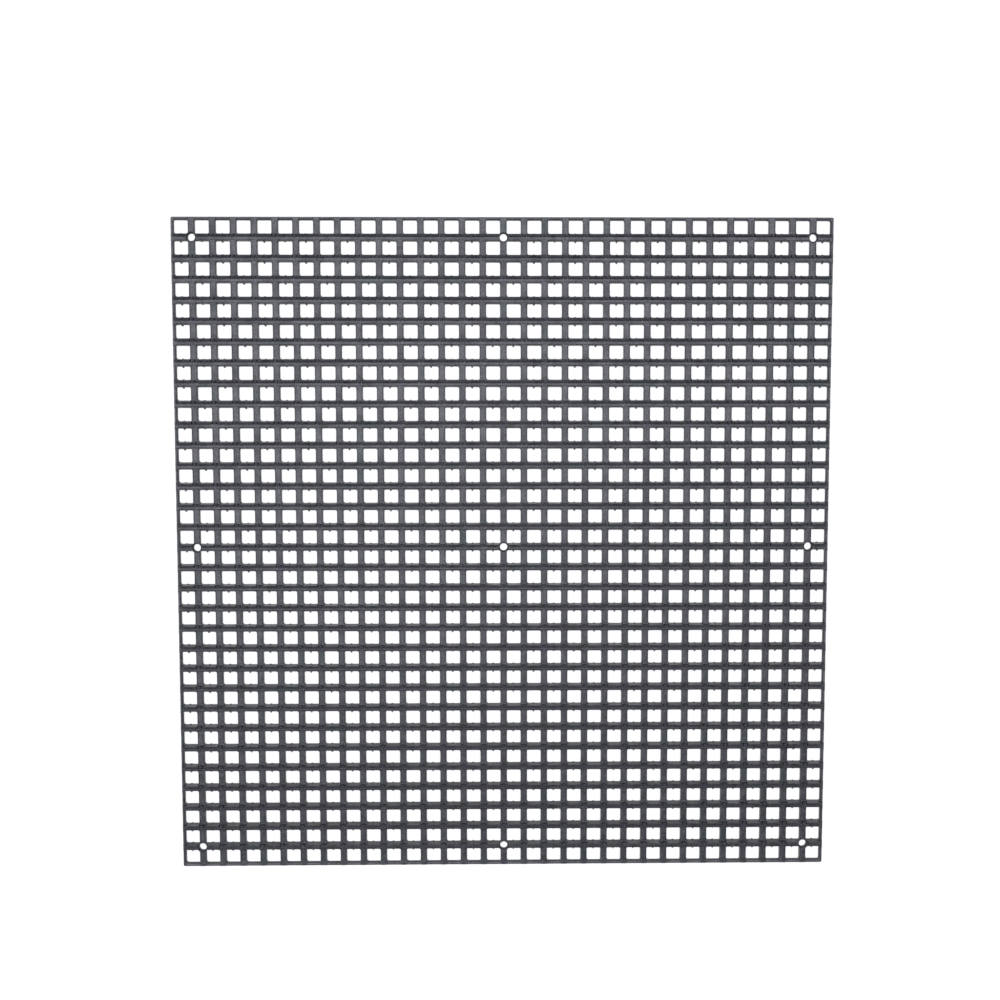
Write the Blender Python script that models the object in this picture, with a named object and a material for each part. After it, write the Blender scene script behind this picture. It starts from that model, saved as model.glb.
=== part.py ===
"""Queen excluder: a thin square grid of moulded black plastic with a mounting frame, louvre bars and cross bars.

Metres, +Z up. The grid lies flat with its back face on z = 0 and its middle on the Z axis. The louvre bars run
along X and carry a raised fin along their +Y edge; the lower cross bars run along Y and pass under them.
"""

import math

import bmesh
import bpy

MM = 0.001

# The grid
CELLS = 32  # openings along each side
PITCH = 6.0 * MM  # from the middle of one opening to the middle of the next
OUTLINE = 191.6 * MM  # outside length of each side
OPENING_X = 4.05 * MM  # clear width between two cross bars
OPENING_Y = 3.8 * MM  # clear height between two louvre bars
GAP = 0.3 * MM  # left between two pieces where they meet

# Heights above the back face
LOW_TOP = 1.5 * MM  # rim, cross bars, screw bosses and the shelf behind each fin
CREST_TOP = 2.7 * MM  # the fin's crest, on its +Y side
FIN_LOW_TOP = 2.35 * MM  # the fin's top slopes down to this height on its -Y side

# Bars: each is widest at the back face and tapers upwards, as it left its mould
CROSS_WIDTH = PITCH - OPENING_X
CROSS_TOP_WIDTH = 1.4 * MM
LOUVRE_WIDTH = PITCH - OPENING_Y
FIN_NORTH = 0.86 * MM  # the fin's two sides at its top, from the bar's middle towards +Y
FIN_SOUTH = 0.2 * MM
SHELF_EDGE = 0.84 * MM  # from the bar's middle towards -Y

# Screw holes, at the crossings of the first, middle and last bars
SCREW_BARS = (1, CELLS // 2, CELLS - 1)
SCREW_HOLE_RADIUS = 1.1 * MM
COUNTERSINK_RADIUS = 1.45 * MM  # at the boss's top; its sides slope at 45 degrees
BOSS_RADIUS = 1.55 * MM
POCKET_RADIUS = 1.7 * MM  # cuts the fins back round the boss
ROUND_SIDES = 20
PAST = 0.1 * MM  # bosses and cutters pass through the planes that they end at by this much

ALONG_X = "X"
ALONG_Y = "Y"


def clear_scene():
    for obj in list(bpy.data.objects):
        bpy.data.objects.remove(obj, do_unlink=True)


def moulded_plastic(name, colour, roughness):
    """A dull black plastic."""
    material = bpy.data.materials.new(name)
    material.use_nodes = True
    shader = material.node_tree.nodes["Principled BSDF"]
    shader.inputs["Base Color"].default_value = (*colour, 1.0)
    shader.inputs["Roughness"].default_value = roughness
    shader.inputs["Metallic"].default_value = 0.0
    return material


def bar_centre(number):
    """How far bar 1 to 31 stands from the middle of the grid, counted from the low end of its axis."""
    return (number - CELLS / 2) * PITCH


def opening_edge(opening):
    """The outer edge of the outermost opening, from the middle of the grid."""
    return (CELLS - 1) / 2 * PITCH + opening / 2


def new_object(name, bm, material=None):
    mesh = bpy.data.meshes.new(name)
    bmesh.ops.recalc_face_normals(bm, faces=bm.faces)
    bm.to_mesh(mesh)
    bm.free()
    obj = bpy.data.objects.new(name, mesh)
    bpy.context.scene.collection.objects.link(obj)
    if material:
        mesh.materials.append(material)
    return obj


def as_helper(obj):
    """Keeps a cutter or a shape that is joined into another one out of the model."""
    obj.hide_render = True
    obj.display_type = "WIRE"
    return obj


def boolean(obj, operation, other):
    modifier = obj.modifiers.new(f"{operation.lower()}_{other.name}", "BOOLEAN")
    modifier.operation = operation
    modifier.solver = "EXACT"
    modifier.object = other
    return modifier


def add_prism(bm, section, axis, length):
    """Extrudes a closed section, given as (across, up) points, along an axis and centred on it."""
    place = {
        ALONG_X: lambda across, up: (-length / 2, across, up),
        ALONG_Y: lambda across, up: (across, -length / 2, up),
    }[axis]
    ends = [bm.verts.new(place(across, up)) for across, up in section]
    made = bmesh.ops.extrude_face_region(bm, geom=[bm.faces.new(ends)])
    moved = [item for item in made["geom"] if isinstance(item, bmesh.types.BMVert)]
    step = (length, 0, 0) if axis == ALONG_X else (0, length, 0)
    bmesh.ops.translate(bm, verts=moved, vec=step)
    return moved + ends


def louvre_section():
    """A wide foot with a fin along its +Y side, whose top slopes down towards the shelf behind it."""
    half_foot = LOUVRE_WIDTH / 2
    return [
        (-half_foot, 0),
        (half_foot, 0),
        (FIN_NORTH, CREST_TOP),
        (FIN_SOUTH, FIN_LOW_TOP),
        (FIN_SOUTH, LOW_TOP),
        (-SHELF_EDGE, LOW_TOP),
    ]


def cross_section():
    """A low bar with both sides drafted the same."""
    half_foot = CROSS_WIDTH / 2
    half_top = CROSS_TOP_WIDTH / 2
    return [(-half_foot, 0), (half_foot, 0), (half_top, LOW_TOP), (-half_top, LOW_TOP)]


def crossing_slots(name, bars):
    """Cuts the half-lap slots in a louvre bar, one over each cross bar named, clear of it by the gap."""
    height = LOW_TOP + GAP
    half_width = CROSS_WIDTH / 2 + GAP
    section = [(-half_width, -height), (half_width, -height), (half_width, height), (-half_width, height)]
    bm = bmesh.new()
    for number in bars:
        verts = add_prism(bm, section, ALONG_Y, OUTLINE)
        bmesh.ops.translate(bm, verts=verts, vec=(bar_centre(number), 0, 0))
    return as_helper(new_object(name, bm))


def louvre_bar(name, number, length, slots, material):
    """One louvre bar. Bar 1 is the one nearest the +Y side."""
    bm = bmesh.new()
    add_prism(bm, louvre_section(), ALONG_X, length)
    obj = new_object(name, bm, material)
    obj.location.y = -bar_centre(number)
    boolean(obj, "DIFFERENCE", slots)
    return obj


def cross_bar(name, number, length, material):
    """One cross bar. Bar 1 is the one nearest the -X side."""
    bm = bmesh.new()
    add_prism(bm, cross_section(), ALONG_Y, length)
    obj = new_object(name, bm, material)
    obj.location.x = bar_centre(number)
    return obj


def rim(name, material):
    """The thin square wall round the grid."""
    outer = OUTLINE / 2
    inner_x = opening_edge(OPENING_X)
    inner_y = opening_edge(OPENING_Y)
    corners = ((-1, -1), (1, -1), (1, 1), (-1, 1))
    bm = bmesh.new()
    outside = [bm.verts.new((x * outer, y * outer, 0)) for x, y in corners]
    inside = [bm.verts.new((x * inner_x, y * inner_y, 0)) for x, y in corners]
    for i in range(len(corners)):
        j = (i + 1) % len(corners)
        bm.faces.new((outside[i], outside[j], inside[j], inside[i]))
    made = bmesh.ops.extrude_face_region(bm, geom=list(bm.faces))
    raised = [item for item in made["geom"] if isinstance(item, bmesh.types.BMVert)]
    bmesh.ops.translate(bm, verts=raised, vec=(0, 0, LOW_TOP))
    return new_object(name, bm, material)


def screw_points():
    return [(bar_centre(i), bar_centre(j)) for j in SCREW_BARS for i in SCREW_BARS]


def turned(name, profile):
    """A solid turned round the axis of each screw hole, as one helper, from (radius, height) points going up."""
    bm = bmesh.new()
    turns = [2 * math.pi * i / ROUND_SIDES for i in range(ROUND_SIDES)]
    for x, y in screw_points():
        rings = []
        for radius, z in profile:
            rings.append([bm.verts.new((x + radius * math.cos(t), y + radius * math.sin(t), z)) for t in turns])
        bm.faces.new(rings[0])
        bm.faces.new(rings[-1])
        for low, high in zip(rings, rings[1:]):
            for i in range(ROUND_SIDES):
                j = (i + 1) % ROUND_SIDES
                bm.faces.new((low[i], low[j], high[j], high[i]))
    return as_helper(new_object(name, bm))


def screw_bosses():
    return turned("bosses", [(BOSS_RADIUS, 0), (BOSS_RADIUS, LOW_TOP + PAST)])


def screw_holes():
    """The holes, their countersinks, and the pockets above them that cut the fins back."""
    cone_low = LOW_TOP - (COUNTERSINK_RADIUS - SCREW_HOLE_RADIUS)
    profile = [
        (SCREW_HOLE_RADIUS, -PAST),
        (SCREW_HOLE_RADIUS, cone_low),
        (COUNTERSINK_RADIUS, LOW_TOP),
        (POCKET_RADIUS, LOW_TOP),
        (POCKET_RADIUS, CREST_TOP + PAST),
    ]
    return turned("holes", profile)


def mounting_frame(material):
    """The rim, the three louvre bars and three cross bars that join it to the screw bosses, and the nine bosses."""
    frame = rim("mounting_frame", material)
    reach = OUTLINE - (OUTLINE / 2 - opening_edge(OPENING_X))  # each end stops inside the rim's wall
    slots = crossing_slots("frame_slots", [n for n in range(1, CELLS) if n not in SCREW_BARS])
    for number in SCREW_BARS:
        boolean(frame, "UNION", as_helper(cross_bar(f"frame_cross_{number}", number, reach, None)))
        boolean(frame, "UNION", as_helper(louvre_bar(f"frame_louvre_{number}", number, reach, slots, None)))
    boolean(frame, "UNION", screw_bosses())
    boolean(frame, "DIFFERENCE", screw_holes())
    return frame


def main():
    clear_scene()
    mounting_frame(moulded_plastic("frame_plastic", (0.030, 0.031, 0.036), 0.5))
    louvre_plastic = moulded_plastic("louvre_plastic", (0.029, 0.030, 0.035), 0.5)
    cross_plastic = moulded_plastic("cross_plastic", (0.031, 0.032, 0.037), 0.5)
    slots = crossing_slots("louvre_slots", range(1, CELLS))
    louvre_length = 2 * (opening_edge(OPENING_X) - GAP)
    cross_length = 2 * (opening_edge(OPENING_Y) - GAP)
    for number in range(1, CELLS):
        if number not in SCREW_BARS:
            louvre_bar(f"louvre_bar_{number:02d}", number, louvre_length, slots, louvre_plastic)
            cross_bar(f"cross_bar_{number:02d}", number, cross_length, cross_plastic)


main()
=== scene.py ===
"""The looks of the queen excluder grid.

Each CAD member gets one detailed moulded piece. The grid lies on a pale floor in soft studio light.
"""

import math

import bpy
import numpy as np
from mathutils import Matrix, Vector


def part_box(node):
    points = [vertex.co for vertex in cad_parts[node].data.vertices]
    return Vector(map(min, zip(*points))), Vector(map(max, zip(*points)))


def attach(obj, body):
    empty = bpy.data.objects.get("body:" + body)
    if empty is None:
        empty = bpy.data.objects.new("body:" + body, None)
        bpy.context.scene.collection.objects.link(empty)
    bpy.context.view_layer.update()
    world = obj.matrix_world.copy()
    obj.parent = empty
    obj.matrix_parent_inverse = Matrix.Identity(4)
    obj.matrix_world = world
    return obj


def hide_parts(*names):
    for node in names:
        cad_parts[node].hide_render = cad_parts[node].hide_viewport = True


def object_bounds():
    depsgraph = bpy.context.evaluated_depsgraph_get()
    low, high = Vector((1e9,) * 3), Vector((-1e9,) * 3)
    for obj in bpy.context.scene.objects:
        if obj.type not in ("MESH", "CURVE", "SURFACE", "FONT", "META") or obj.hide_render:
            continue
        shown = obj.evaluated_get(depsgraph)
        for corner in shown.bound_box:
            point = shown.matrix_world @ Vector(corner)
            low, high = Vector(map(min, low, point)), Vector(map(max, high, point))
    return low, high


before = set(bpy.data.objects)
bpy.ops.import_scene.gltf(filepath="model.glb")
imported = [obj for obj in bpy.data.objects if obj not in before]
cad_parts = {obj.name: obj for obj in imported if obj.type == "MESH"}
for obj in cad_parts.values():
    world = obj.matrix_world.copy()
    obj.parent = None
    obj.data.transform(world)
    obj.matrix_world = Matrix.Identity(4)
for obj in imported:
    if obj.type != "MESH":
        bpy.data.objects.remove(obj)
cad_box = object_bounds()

MM = 0.001

# ---------------------------------------------------------------- sizes read from the CAD frame
FIRST, MIDDLE, LAST = 1, 16, 31
SCREW_BARS = (FIRST, MIDDLE, LAST)
BARS = range(FIRST, LAST + 1)

louvre_low, louvre_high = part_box("louvre_bar_02")
cross_low, cross_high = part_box("cross_bar_02")
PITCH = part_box("cross_bar_03")[0].x - cross_low.x
OUTLINE_HALF = cad_box[1].x
CROSS_HALF = (cross_high.x - cross_low.x) / 2
LOUVRE_HALF = (louvre_high.y - louvre_low.y) / 2
LOW_TOP = cross_high.z
CREST_TOP = louvre_high.z


def bar_at(number):
    """Where bar 1 to 31 stands, counted from the low end of its axis."""
    return (number - MIDDLE) * PITCH


# The inner faces of the rim: half an opening past the middle of the outermost cells
OUTER_CELL = (MIDDLE - 0.5) * PITCH
RIM_INNER_X = OUTER_CELL + PITCH / 2 - CROSS_HALF
RIM_INNER_Y = OUTER_CELL + PITCH / 2 - LOUVRE_HALF

# ---------------------------------------------------------------- details finer than the CAD holds
FOOT = 0.5 * MM  # upright land at the back of every bar, below the drafted walls
BACK_EDGE = 0.08 * MM  # rounding of the back's edges
BAR_END = OUTLINE_HALF - 0.02 * MM

# Radius in plan of each corner of an opening, by its side of the opening in X and in Y
CORNERS = {(-1, -1): 0.62 * MM, (1, 1): 0.5 * MM, (1, -1): 0.35 * MM, (-1, 1): 0.3 * MM}

# Cross bars
CROSS_TOP = LOW_TOP - 0.02 * MM  # just under the louvre bars' shelf, so that the two never share a plane
CROSS_CROWN = 0.015 * MM  # how much higher the top's middle is than its edges
CROSS_SUNK = 0.05 * MM  # how far the back of a cross bar is sunk inside a louvre bar

# Where a cross bar's outline bends in mm, from a louvre bar's edge at the back and away from that bar
NORTH_STEPS = (-0.12, -0.07, -0.02, 0.02, 0.07, 0.14, 0.23, 0.34, 0.47, 0.62)
SOUTH_STEPS = (-0.27, -0.23, -0.17, -0.1, -0.03, 0.02, 0.07, 0.14, 0.24, 0.36, 0.5)

# Louvre bars: the shelf's edge and the fin's two sides at its top are measured from the bar's middle
SHELF_EDGE = 0.84 * MM
FIN_SOUTH = 0.20 * MM
FIN_NORTH = 0.86 * MM
FIN_LIP = CREST_TOP - 0.35 * MM  # the fin's top slopes down to this height on its -Y side
FIN_STOP = 0.5 * MM  # the fin ends this far inside the outline
RIM_STEPS = (0, 0.01, 0.04, 0.1, 0.18, 0.3, 0.42, 0.62)  # where the outline bends, in mm from the rim

# One slit of the fin beside each cross bar: (mm from the cross bar's middle, how much of the fin stands)
SLIT = [(0.79, 1.0), (0.75, 0.96), (0.72, 0.0), (0.48, 0.0), (0.45, 0.96), (0.41, 1.0)]

# Moulding pips: small bulges of a louvre bar's walls into the openings on both of its sides
PIP_OFFSET = -0.13 * MM  # from the opening's middle, in X
PIP_HALF = 0.40 * MM  # half a pip's length along the bar
PIP_SOUTH = 0.42 * MM  # how far a full pip reaches into the opening on the bar's -Y and +Y side
PIP_NORTH = 0.16 * MM
PIP_SLOPE = [(0.27, 0.92), (0.52, 0.62), (0.75, 0.22), (1, 0)]  # (share of the half, share of the reach)
PIP_SHAPE = [(-u, bulge) for u, bulge in reversed(PIP_SLOPE)] + [(0, 1)] + PIP_SLOPE

# Screw holes
HOLE_RADIUS = 1.1 * MM
SINK_RADIUS = 1.45 * MM
SINK_LOW = LOW_TOP - (SINK_RADIUS - HOLE_RADIUS)
BOSS_RADIUS = 1.6 * MM
POCKET_RADIUS = 1.7 * MM
BURIED = 0.2 * MM  # how far inside the boss's wall the bars end at the back, and less at the top
BURIED_TOP = 0.07 * MM
CAP_SHARES = (0.08, 0.3, 0.5, 0.7, 0.86)  # rings that close a bar's end, as shares of its section
HUB_SIDES = 64

# The rim
RIM_CORNER = 0.45 * MM  # radius in plan of the outside corners
RIM_TURNS = np.radians((0, 22.5, 45, 67.5, 90))
RIM_INNER_TOP = LOW_TOP - 0.28 * MM  # the top slopes down inwards
RIM_OUTER_TOP = LOW_TOP - 0.10 * MM

SHARP_EDGE = math.radians(38)  # edges that bend more than this stay crisp in the shading


# ---------------------------------------------------------------- mesh tools
def signed_volume(verts, quads):
    """Six times the volume inside the quads, and positive where they face outwards."""
    a, b, c, d = (verts[quads[:, i]] for i in range(4))
    return (np.einsum("ij,ij->i", a, np.cross(b, c)) + np.einsum("ij,ij->i", a, np.cross(c, d))).sum()


def loft_data(rings, around=False):
    """Vertices and faces through a row of closed rings, capped at both ends, or joined round into a loop."""
    rings = np.asarray(rings)
    count, size, _ = rings.shape
    verts = rings.reshape(-1, 3)
    steps = count if around else count - 1
    i, k = np.meshgrid(np.arange(steps), np.arange(size), indexing="ij")
    here, there, side = i * size, (i + 1) % count * size, (k + 1) % size
    quads = np.stack([here + k, here + side, there + side, there + k], axis=-1).reshape(-1, 4)
    flip = signed_volume(verts - verts.mean(axis=0), quads) < 0
    faces = (quads[:, ::-1] if flip else quads).tolist()
    if not around:
        start, end = list(range(size)), list(range((count - 1) * size, count * size))
        faces += [start, end[::-1]] if flip else [start[::-1], end]
    return verts, faces


def section_points(profile, count):
    """Across and up coordinates, each (count, points), from a profile that mixes numbers and arrays."""
    across = np.stack([np.broadcast_to(a, count) for a, _ in profile], axis=1)
    up = np.stack([np.broadcast_to(u, count) for _, u in profile], axis=1)
    return across, up


def piece(name, parts, plastics, node, slot):
    """One object from several closed lofts. It stands for a CAD node and rides with the body."""
    verts, faces = [], []
    for part_verts, part_faces in parts:
        base = len(verts)
        verts.extend(part_verts.tolist())
        faces.extend([[base + v for v in face] for face in part_faces])
    mesh = bpy.data.meshes.new(name)
    mesh.from_pydata(verts, [], faces)
    mesh.update()
    mesh.shade_smooth()
    mesh.set_sharp_from_angle(angle=SHARP_EDGE)
    mesh.materials.append(plastics[slot])
    obj = bpy.data.objects.new(name, mesh)
    bpy.context.scene.collection.objects.link(obj)
    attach(obj, "root")
    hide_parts(node)
    return obj


def corner_flare(distance, radius):
    """How much a bar widens at this distance from the wall that it meets, for a round inside corner."""
    d = np.clip(distance, 0, radius)
    return radius - np.sqrt(radius**2 - (radius - d) ** 2)


def hub_wall(z):
    """The radius where a bar ends inside the boss's wall, at each height."""
    return np.interp(z, (SINK_LOW, LOW_TOP), (HOLE_RADIUS + BURIED, SINK_RADIUS + BURIED_TOP))


def hub_reach(radius, across):
    """How far along a bar its points lie on a circle round the hole, by how far they are across it."""
    return np.sqrt(np.maximum(radius**2 - across**2, 0))


def hub_cap(across, up, hole, way):
    """Rings (along, across, up) that close a bar's end inside the boss's wall, from their middle outwards."""
    middle = LOW_TOP / 2
    rings = []
    for share in CAP_SHARES:
        a, u = across * share, middle + (up - middle) * share
        rings.append(np.stack([hole + way * hub_reach(hub_wall(u), a), a, u], axis=-1))
    return np.array(rings)


def with_caps(rings, low, high, low_hole, high_hole):
    """The rings of a bar along its first coordinate, with a cap at each end that meets a screw hole."""
    if low_hole:
        rings = np.concatenate([hub_cap(rings[0, :, 1], rings[0, :, 2], low, 1), rings])
    if high_hole:
        rings = np.concatenate([rings, hub_cap(rings[-1, :, 1], rings[-1, :, 2], high, -1)[::-1]])
    return rings


# ---------------------------------------------------------------- louvre bars
def pip_strength(row, column):
    """How strong the moulding pip is on louvre bar row (from the +Y side) in this column of openings.

    The pattern repeats every three rows and is the same in both halves of a row.
    """
    inward = min(column, LAST - column)
    weave = (1.0, 0.5, 1.0, 0.0)[inward % 4]
    odd, even = float(inward % 2 == 1), float(inward % 2 == 0)
    cycle = (odd, weave, even) if row < MIDDLE else (weave, 1.0, odd)
    return cycle[row % 3]


def louvre_stations(row, low, high):
    """(x, pip, rise) along a louvre bar: pips in the middle of openings, and slits beside each cross bar.

    Pip is how much of a pip there is, and rise how much of the fin stands.
    """
    found = []
    for column in range(LAST + 1):
        strength = pip_strength(row, column)
        middle = (column - OUTER_CELL / PITCH) * PITCH + PIP_OFFSET
        if strength:
            found.extend((middle + u * PIP_HALF, bulge * strength, 1.0) for u, bulge in PIP_SHAPE)
    for number in BARS:
        for side in (-1, 1):
            found.extend((bar_at(number) + side * away * MM, 0.0, rise) for away, rise in SLIT)
    for side in (-1, 1):
        for step in RIM_STEPS:
            found.append((side * (RIM_INNER_X - step * MM), 0.0, 1.0))
    return [s for s in found if low < s[0] < high]


def louvre_end(end, hole, side):
    """(x, pip, rise, radius) of the rings that end a louvre bar at the outline, or round a screw hole."""
    if not hole:
        ramp = ((0.0, 0.0), (FIN_STOP, 0.0), (FIN_STOP + 0.03 * MM, 0.9), (FIN_STOP + 0.09 * MM, 1.0))
        return [(end + side * step, 0.0, rise, np.nan) for step, rise in ramp]
    steps = ((-0.03 * MM, 0.0), (0.0, 0.96), (0.05 * MM, 1.0))
    rings = [(POCKET_RADIUS + step, rise) for step, rise in steps]
    return [(end, 0.0, 0.0, 0.0)] + [(end + side * radius, 0.0, rise, radius) for radius, rise in rings]


def fin_north(z):
    """The fin's +Y face leans in from the foot to the crest."""
    return LOUVRE_HALF - (LOUVRE_HALF - FIN_NORTH) * (z - FOOT) / (CREST_TOP - FOOT)


def louvre_profile(x, pip, rise):
    """The section at each station, from the -Y edge of the back round over the fin."""
    side = np.sign(x)
    wall = RIM_INNER_X - np.abs(x)
    flare_south = corner_flare(wall, np.where(side < 0, CORNERS[-1, 1], CORNERS[1, 1]))
    flare_north = corner_flare(wall, np.where(side < 0, CORNERS[-1, -1], CORNERS[1, -1]))
    south = -LOUVRE_HALF - pip * PIP_SOUTH - flare_south
    edge = -SHELF_EDGE - flare_south
    north = LOUVRE_HALF + pip * PIP_NORTH + flare_north
    # At the rim the corner's widening is whole up to the bench, and ends below the rim's top
    knee, bench, clear = FOOT + 0.3 * MM, RIM_INNER_TOP - 0.16 * MM, RIM_INNER_TOP - 0.05 * MM
    lip, crest, brow = (LOW_TOP + rise * (z - LOW_TOP) for z in (FIN_LIP, CREST_TOP, CREST_TOP - 0.07 * MM))
    brow = brow - 0.05 * MM * (1 - rise)
    return [
        # the -Y wall, from the back to the shelf's rounded edge
        (-0.6 * MM, 0),
        (south + BACK_EDGE, 0),
        (south, BACK_EDGE),
        (south, FOOT),
        (edge - 0.05 * MM, LOW_TOP - 0.18 * MM),
        (edge - 0.01 * MM, LOW_TOP - 0.06 * MM),
        # the shelf, and the fillet below the fin
        (edge + 0.07 * MM, LOW_TOP),
        (-0.4 * MM, LOW_TOP),
        (FIN_SOUTH - 0.16 * MM, LOW_TOP),
        (FIN_SOUTH - 0.06 * MM, LOW_TOP + 0.03 * MM * rise),
        (FIN_SOUTH - 0.02 * MM, LOW_TOP + 0.11 * MM * rise),
        # the fin's -Y side and its sloped top
        (FIN_SOUTH, lip - 0.06 * MM * rise),
        (FIN_SOUTH + 0.05 * MM, lip),
        (FIN_NORTH - 0.15 * MM, crest - 0.04 * MM * rise),
        (fin_north(crest) - 0.07 * MM, crest),
        # the fin's +Y face, the foot below it and the back
        (fin_north(brow), brow),
        (fin_north(clear), clear),
        (fin_north(bench) + flare_north, bench),
        (fin_north(knee) + flare_north, knee),
        (north, FOOT),
        (north, BACK_EDGE),
        (north - BACK_EDGE, 0),
        (0.6 * MM, 0),
        (0.3 * MM, 0),
        (0.0, 0),
        (-0.3 * MM, 0),
    ]


def louvre_rings(row, low, high, low_hole=False, high_hole=False):
    """The rings of a louvre bar from x = low to high. An end at a hole is given by the hole's middle."""
    clear = POCKET_RADIUS + 0.06 * MM
    inner = louvre_stations(row, low + clear * low_hole, high - clear * high_hole)
    stations = louvre_end(low, low_hole, 1) + [(*s, np.nan) for s in inner] + louvre_end(high, high_hole, -1)
    x, pip, rise, radius = np.array(sorted(stations)).T
    y, z = section_points(louvre_profile(x, pip, rise), len(x))
    along = np.repeat(x[:, None], y.shape[1], axis=1)
    for hole, side, at_hole in ((low, 1, low_hole), (high, -1, high_hole)):
        if at_hole:
            rows = ~np.isnan(radius) & (np.abs(x - hole) < PITCH)
            turned = np.where(radius[rows, None] > 0, radius[rows, None], hub_wall(z[rows]))
            along[rows] = hole + side * hub_reach(turned, y[rows])
    rings = with_caps(np.stack([along, y, z], axis=-1), low, high, low_hole, high_hole)
    return rings + (0, bar_at(LAST + 1 - row), 0)


# ---------------------------------------------------------------- cross bars
def wall_distance(y, z):
    """Each point's distance from the wall that a cross bar meets, and that wall's side of the opening."""
    lean_south = np.clip((z - FOOT) / (LOW_TOP - FOOT), 0, 1) * (LOUVRE_HALF - SHELF_EDGE)
    from_bar = y - np.round(y / PITCH) * PITCH
    at_rim = np.abs(y) > bar_at(LAST) + PITCH / 2
    above = np.where(at_rim, y < 0, from_bar > 0)
    to_bar = np.abs(from_bar) - np.where(above, fin_north(np.maximum(z, FOOT)), LOUVRE_HALF - lean_south)
    distance = np.where(at_rim, RIM_INNER_Y - np.abs(y), to_bar)
    return distance, np.where(above, -1, 1)


def cross_stations(low, high):
    """Every y where the bar's outline bends: the round corners beside each louvre bar and the rim."""
    found = [bar_at(n) + LOUVRE_HALF + step * MM for n in BARS for step in NORTH_STEPS]
    found += [bar_at(n) - LOUVRE_HALF - step * MM for n in BARS for step in SOUTH_STEPS]
    found += [side * (RIM_INNER_Y - step * MM) for side in (-1, 1) for step in NORTH_STEPS if step > 0]
    return [y for y in sorted(found) if low < y < high]


def cross_half(y):
    """The right half of the section at each station, from the back up to the crown."""
    in_louvre = wall_distance(y, np.full_like(y, FOOT))[0] < -0.01 * MM
    back = CROSS_SUNK * in_louvre
    return [
        (0.45 * MM, back),
        (CROSS_HALF - BACK_EDGE, back),
        (CROSS_HALF, BACK_EDGE),
        (CROSS_HALF, FOOT),
        (0.87 * MM, LOW_TOP - 0.18 * MM),
        (0.84 * MM, CROSS_TOP - CROSS_CROWN - 0.05 * MM),
        (0.77 * MM, CROSS_TOP - CROSS_CROWN),
        (0.40 * MM, CROSS_TOP - 0.4 * CROSS_CROWN),
        (0.14 * MM, CROSS_TOP),
    ]


def cross_rings(number, low, high, low_hole=False, high_hole=False):
    """The rings of a cross bar from y = low to high. An end at a hole is given by the hole's middle."""
    clear = BOSS_RADIUS - 0.02 * MM
    inner = cross_stations(low + clear * low_hole, high - clear * high_hole)
    y = np.array([low, *inner, high])
    x, z = section_points(cross_half(y), len(y))
    along = np.repeat(y[:, None], x.shape[1], axis=1)
    distance, side = wall_distance(along, z)
    distance[0] = distance[-1] = PITCH
    left, right = (corner_flare(distance, np.where(side < 0, CORNERS[s, -1], CORNERS[s, 1])) for s in (1, -1))
    for end, hole, way, at_hole in ((0, low, 1, low_hole), (-1, high, -1, high_hole)):
        if at_hole:
            along[end] = hole + way * hub_reach(hub_wall(z[end]), x[end])
    halves = [np.stack([along, across, z], axis=-1) for across in (x + right, -x - left)]
    rings = with_caps(np.concatenate([halves[0], halves[1][:, ::-1]], axis=1), low, high, low_hole, high_hole)
    return rings[:, :, [1, 0, 2]] + (bar_at(number), 0, 0)


# ---------------------------------------------------------------- mounting frame
def rim_data():
    """The rim: a square wall with small round corners, whose top slopes down inwards."""
    rings = []
    for sx, sy in ((1, 1), (-1, 1), (-1, -1), (1, -1)):
        inner_r = CORNERS[sx, sy]
        for turn in RIM_TURNS if sx * sy > 0 else RIM_TURNS[::-1]:
            out = np.array((math.cos(turn), math.sin(turn)))
            outer = OUTLINE_HALF - RIM_CORNER + RIM_CORNER * out
            inner = np.array((RIM_INNER_X, RIM_INNER_Y)) - inner_r + inner_r * out
            profile = [
                # the inner wall
                (inner + out * BACK_EDGE, 0.0),
                (inner, BACK_EDGE),
                (inner, FOOT),
                # the sloped top, with rounded edges
                (inner + out * 0.07 * MM, RIM_INNER_TOP - 0.08 * MM),
                (inner + out * 0.13 * MM, RIM_INNER_TOP),
                (outer - out * 0.13 * MM, RIM_OUTER_TOP),
                (outer - out * 0.05 * MM, RIM_OUTER_TOP - 0.03 * MM),
                # the outer wall
                (outer, RIM_OUTER_TOP - 0.12 * MM),
                (outer, BACK_EDGE),
                (outer - out * BACK_EDGE, 0.0),
            ]
            rings.append([(sx * p[0], sy * p[1], z) for p, z in profile])
    return loft_data(rings, around=True)


def boss_data(x, y):
    """A turned ring round a screw hole, with a countersink."""
    top = LOW_TOP - 0.005 * MM
    profile = [
        # the hole's wall
        (HOLE_RADIUS + 0.06 * MM, 0.0),
        (HOLE_RADIUS, 0.06 * MM),
        (HOLE_RADIUS, SINK_LOW - 0.03 * MM),
        # the countersink
        (HOLE_RADIUS + 0.03 * MM, SINK_LOW + 0.03 * MM),
        (SINK_RADIUS - 0.03 * MM, top - 0.04 * MM),
        # the top
        (SINK_RADIUS + 0.02 * MM, top),
        (BOSS_RADIUS - 0.05 * MM, top),
        # the outer wall, and the back, which is a little higher where it meets the bars
        (BOSS_RADIUS, top - 0.06 * MM),
        (BOSS_RADIUS, 0.12 * MM),
        (BOSS_RADIUS - 0.08 * MM, 0.04 * MM),
        (HOLE_RADIUS + BURIED, 0.04 * MM),
        (HOLE_RADIUS + BURIED - 0.04 * MM, 0.0),
    ]
    rings = []
    for turn in np.linspace(0, 2 * math.pi, HUB_SIDES, endpoint=False):
        rings.append([(x + r * math.cos(turn), y + r * math.sin(turn), z) for r, z in profile])
    return loft_data(rings, around=True)


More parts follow.
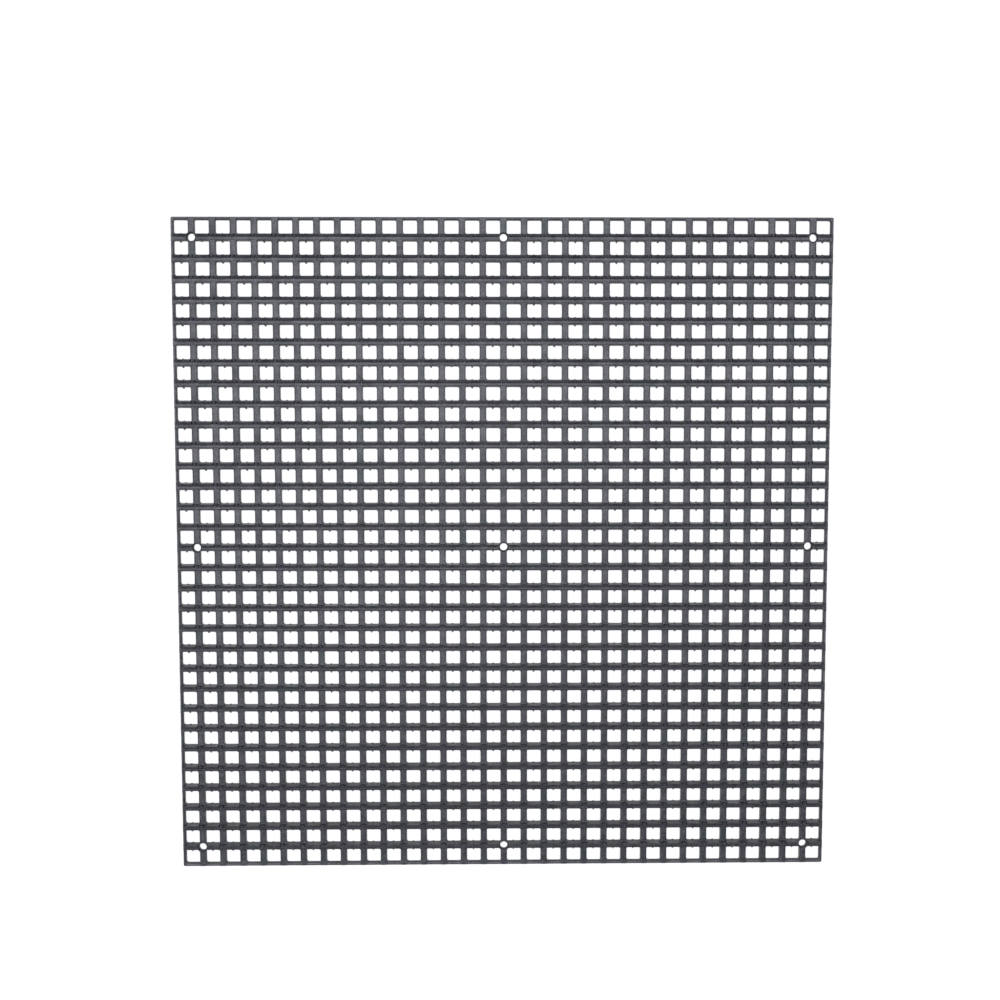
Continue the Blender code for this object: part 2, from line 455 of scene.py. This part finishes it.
def frame_parts():
    """The rim, and the stretches of the three bars each way between it and the screw bosses."""
    stops = [-BAR_END, *[bar_at(n) for n in SCREW_BARS], BAR_END]
    parts = [rim_data()]
    for number in SCREW_BARS:
        for i in range(len(stops) - 1):
            span = (stops[i], stops[i + 1], i > 0, i < len(stops) - 2)
            parts.append(loft_data(louvre_rings(number, *span)))
            parts.append(loft_data(cross_rings(number, *span)))
        parts.extend(boss_data(bar_at(number), bar_at(other)) for other in SCREW_BARS)
    return parts


# ---------------------------------------------------------------- materials
COOL_BLACK = (0.004, 0.013, 0.013)
WARM_BLACK = (0.017, 0.008, 0.020)
# grey of the random lighter specks, and of the painted highlight on convex edges
SPECK_AND_EDGE_HIGHLIGHT = (0.06, 0.06, 0.067)

# Each plastic's darkest and lightest colour, and how far its patterns are moved so that they don't line up
PLASTICS = {
    "frame_plastic": ((0.002, 0.002, 0.003), (0.026, 0.026, 0.030), 0.0),
    "louvre_plastic": ((0.001, 0.001, 0.002), (0.025, 0.025, 0.029), 0.3),
    "cross_plastic": ((0.003, 0.003, 0.004), (0.027, 0.027, 0.031), 0.6),
}

# Noise scales, per metre
HUE_SCALE = 60.0
TINT_SCALE = 110.0
DULL_SCALE = 150.0
SHADE_SCALE = 450.0
SPECK_SCALE = 1700.0
DENT_SCALE = 1900.0
SHEEN_SCALE = 2600.0
GRAIN_SCALE = 7000.0


def new_material(name):
    material = bpy.data.materials.new(name)
    material.use_nodes = True
    tree = material.node_tree
    return material, tree, tree.nodes["Principled BSDF"]


def add_node(tree, kind, **values):
    node = tree.nodes.new(kind)
    for key, value in values.items():
        if key in node.inputs:
            node.inputs[key].default_value = value
        else:
            setattr(node, key, value)
    return node


def noise(tree, coords, scale, detail=2.0, roughness=0.5):
    node = add_node(tree, "ShaderNodeTexNoise", Scale=scale, Detail=detail, Roughness=roughness)
    tree.links.new(coords, node.inputs["Vector"])
    return node.outputs["Fac"]


def spread(tree, value, low, high, to_low, to_high):
    node = add_node(tree, "ShaderNodeMapRange")
    node.inputs["From Min"].default_value = low
    node.inputs["From Max"].default_value = high
    node.inputs["To Min"].default_value = to_low
    node.inputs["To Max"].default_value = to_high
    tree.links.new(value, node.inputs["Value"])
    return node.outputs["Result"]


def mix_colour(tree, factor, first, second):
    node = add_node(tree, "ShaderNodeMix", data_type="RGBA")
    tree.links.new(factor, node.inputs["Factor"])
    for socket, colour in (("A", first), ("B", second)):
        target = [s for s in node.inputs if s.name == socket and s.type == "RGBA"][0]
        if isinstance(colour, tuple):
            target.default_value = (*colour, 1.0)
        else:
            tree.links.new(colour, target)
    return [s for s in node.outputs if s.type == "RGBA"][0]


def add_bump(tree, coords, scale, depth, strength, below=None):
    """A bump from noise, on top of the bump below it."""
    bump = add_node(tree, "ShaderNodeBump", Strength=strength, Distance=depth)
    tree.links.new(noise(tree, coords, scale), bump.inputs["Height"])
    if below:
        tree.links.new(below, bump.inputs["Normal"])
    return bump.outputs["Normal"]


def moulded_plastic(name, dark, light, shift):
    """Black moulded plastic with cool and warm patches, a fine grain, duller streaks and a painted highlight
    on its convex edges.
    """
    material, tree, shader = new_material(name)
    coords = add_node(tree, "ShaderNodeVectorMath", operation="ADD")
    tree.links.new(tree.nodes.new("ShaderNodeTexCoord").outputs["Object"], coords.inputs[0])
    coords.inputs[1].default_value = (shift, shift, shift)
    coords = coords.outputs["Vector"]

    # Colour: light and dark, with tinted patches, then lighter specks and a painted highlight on convex edges
    # on top
    hue = spread(tree, noise(tree, coords, HUE_SCALE, 3.0), 0.38, 0.62, 0.0, 1.0)
    tinted = mix_colour(tree, hue, COOL_BLACK, WARM_BLACK)
    shade = spread(tree, noise(tree, coords, SHADE_SCALE, 4.0, 0.7), 0.40, 0.60, 0.0, 1.0)
    colour = mix_colour(tree, shade, dark, light)
    patch = spread(tree, noise(tree, coords, TINT_SCALE, 2.0), 0.42, 0.60, 0.0, 0.7)
    colour = mix_colour(tree, patch, colour, tinted)
    specks = spread(tree, noise(tree, coords, SPECK_SCALE, 3.0, 0.6), 0.54, 0.70, 0.0, 0.8)
    colour = mix_colour(tree, specks, colour, SPECK_AND_EDGE_HIGHLIGHT)
    # painted highlight: convex edges, found by pointiness, are lightened as if they caught the light
    pointed = tree.nodes.new("ShaderNodeNewGeometry").outputs["Pointiness"]
    edges = spread(tree, pointed, 0.53, 0.62, 0.0, 0.6)
    colour = mix_colour(tree, edges, colour, SPECK_AND_EDGE_HIGHLIGHT)
    tree.links.new(colour, shader.inputs["Base Color"])

    # Roughness: wide duller streaks plus a fine sheen
    wide = spread(tree, noise(tree, coords, DULL_SCALE, 3.0), 0.38, 0.62, 0.30, 0.44)
    fine = spread(tree, noise(tree, coords, SHEEN_SCALE, 2.0), 0.36, 0.64, 0.0, 0.14)
    rough = add_node(tree, "ShaderNodeMath", operation="ADD")
    tree.links.new(wide, rough.inputs[0])
    tree.links.new(fine, rough.inputs[1])
    tree.links.new(rough.outputs["Value"], shader.inputs["Roughness"])
    shader.inputs["Specular IOR Level"].default_value = 0.5

    # Surface: shallow dents with a finer grain on them
    dents = add_bump(tree, coords, DENT_SCALE, 0.035 * MM, 0.7)
    tree.links.new(add_bump(tree, coords, GRAIN_SCALE, 0.025 * MM, 0.7, dents), shader.inputs["Normal"])
    return material


def plain_floor():
    """Pale and matte, and bright enough to stay white under the grid."""
    material, _, shader = new_material("pale_floor")
    shader.inputs["Base Color"].default_value = (0.2, 0.2, 0.2, 1.0)
    shader.inputs["Roughness"].default_value = 0.9
    shader.inputs["Emission Color"].default_value = (1.0, 1.0, 1.0, 1.0)
    shader.inputs["Emission Strength"].default_value = FLOOR_GLOW
    return material


# ---------------------------------------------------------------- stage
SOFT_BLUE = (0.90, 0.92, 1.0)
HORIZON = 1.0  # the world's brightness where the floor ends, and overhead
OVERHEAD = 0.48
FLOOR_GLOW = 0.78
FLOOR_HALF = 3.0
FLOOR_DROP = 0.02 * MM  # the floor lies this far below the back face
KEY_PLACE = (-0.03, 0.11, 0.70)
KEY_SIZE = (0.90, 0.58)
KEY_RADIANCE = 4.6
CAMERA_PLACE = (-6.59 * MM, 41.45 * MM, 364.09 * MM)
CAMERA_TURN = (-4.3445, -0.8773, -0.0518)  # degrees
CAMERA_LENS = 44.6  # mm, on a sensor 36 mm wide


def add_floor():
    mesh = bpy.data.meshes.new("floor")
    corners = [(x * FLOOR_HALF, y * FLOOR_HALF, 0) for x, y in ((-1, -1), (1, -1), (1, 1), (-1, 1))]
    mesh.from_pydata(corners, [], [(0, 1, 2, 3)])
    mesh.materials.append(plain_floor())
    floor = bpy.data.objects.new("floor", mesh)
    floor.location.z = -FLOOR_DROP
    bpy.context.scene.collection.objects.link(floor)


def add_key_light():
    """A rectangular softbox that faces the grid's middle."""
    data = bpy.data.lights.new("key", "AREA")
    data.shape = "RECTANGLE"
    data.size, data.size_y = KEY_SIZE
    data.energy = KEY_RADIANCE * math.pi * KEY_SIZE[0] * KEY_SIZE[1]
    data.color = SOFT_BLUE
    light = bpy.data.objects.new("key", data)
    light.location = KEY_PLACE
    light.rotation_euler = (-Vector(KEY_PLACE)).to_track_quat("-Z", "Y").to_euler()
    bpy.context.scene.collection.objects.link(light)


def add_camera():
    """Nearly straight above the front face."""
    data = bpy.data.cameras.new("camera")
    data.sensor_width = 36.0
    data.lens = CAMERA_LENS
    camera = bpy.data.objects.new("camera", data)
    camera.location = CAMERA_PLACE
    camera.rotation_euler = [math.radians(turn) for turn in CAMERA_TURN]
    bpy.context.scene.collection.objects.link(camera)
    bpy.context.scene.camera = camera


def add_world():
    """Soft light from all round, brighter near the horizon, where the pale floor meets it."""
    world = bpy.data.worlds.new("world")
    world.use_nodes = True
    tree = world.node_tree
    background = tree.nodes["Background"]
    background.inputs["Color"].default_value = (*SOFT_BLUE, 1)
    height = tree.nodes.new("ShaderNodeSeparateXYZ")
    tree.links.new(tree.nodes.new("ShaderNodeTexCoord").outputs["Generated"], height.inputs["Vector"])
    strength = spread(tree, height.outputs["Z"], 0.06, 0.40, HORIZON, OVERHEAD)
    tree.links.new(strength, background.inputs["Strength"])
    bpy.context.scene.world = world


# ---------------------------------------------------------------- everything
def main():
    scene = bpy.context.scene
    scene.view_settings.view_transform = "Standard"
    add_camera()
    add_world()
    add_floor()
    add_key_light()
    plastics = {slot: moulded_plastic(slot, *look) for slot, look in PLASTICS.items()}
    piece("frame_moulding", frame_parts(), plastics, "mounting_frame", "frame_plastic")
    for number in [n for n in BARS if n not in SCREW_BARS]:
        louvre = loft_data(louvre_rings(number, -BAR_END, BAR_END))
        piece(f"louvre_{number:02d}", [louvre], plastics, f"louvre_bar_{number:02d}", "louvre_plastic")
        cross = loft_data(cross_rings(number, -BAR_END, BAR_END))
        piece(f"cross_{number:02d}", [cross], plastics, f"cross_bar_{number:02d}", "cross_plastic")


main()
